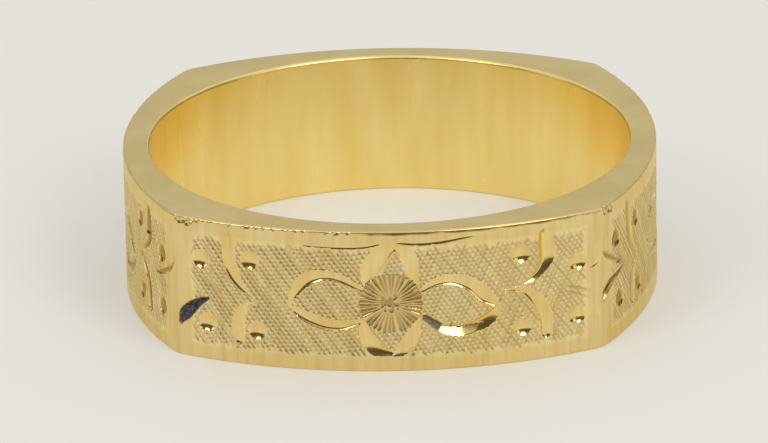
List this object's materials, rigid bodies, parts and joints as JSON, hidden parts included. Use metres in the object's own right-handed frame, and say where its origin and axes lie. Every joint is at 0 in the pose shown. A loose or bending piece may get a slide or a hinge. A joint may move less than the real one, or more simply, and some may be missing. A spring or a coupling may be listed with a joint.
{
  "type": "wedding band",
  "caption": "Squared wedding band in yellow gold: round polished bore, bowed faces meeting at upright edges, each with a bright-cut flower, leaf loops and scrolls.",
  "frame": {"origin": "centre of the bore, at half the band's width", "axes": "+Z along the finger; the middle of the first engraved face looks along -Y, and the others along +X, +Y and -X"},
  "size_m": [0.0202, 0.0202, 0.0054],
  "materials": {
    "yellow_gold": "polished 14 ct yellow gold, bright-cut and hatched on the outside"
  },
  "bodies": {
    "root": {"band": "yellow_gold"}
  },
  "joints": []
}
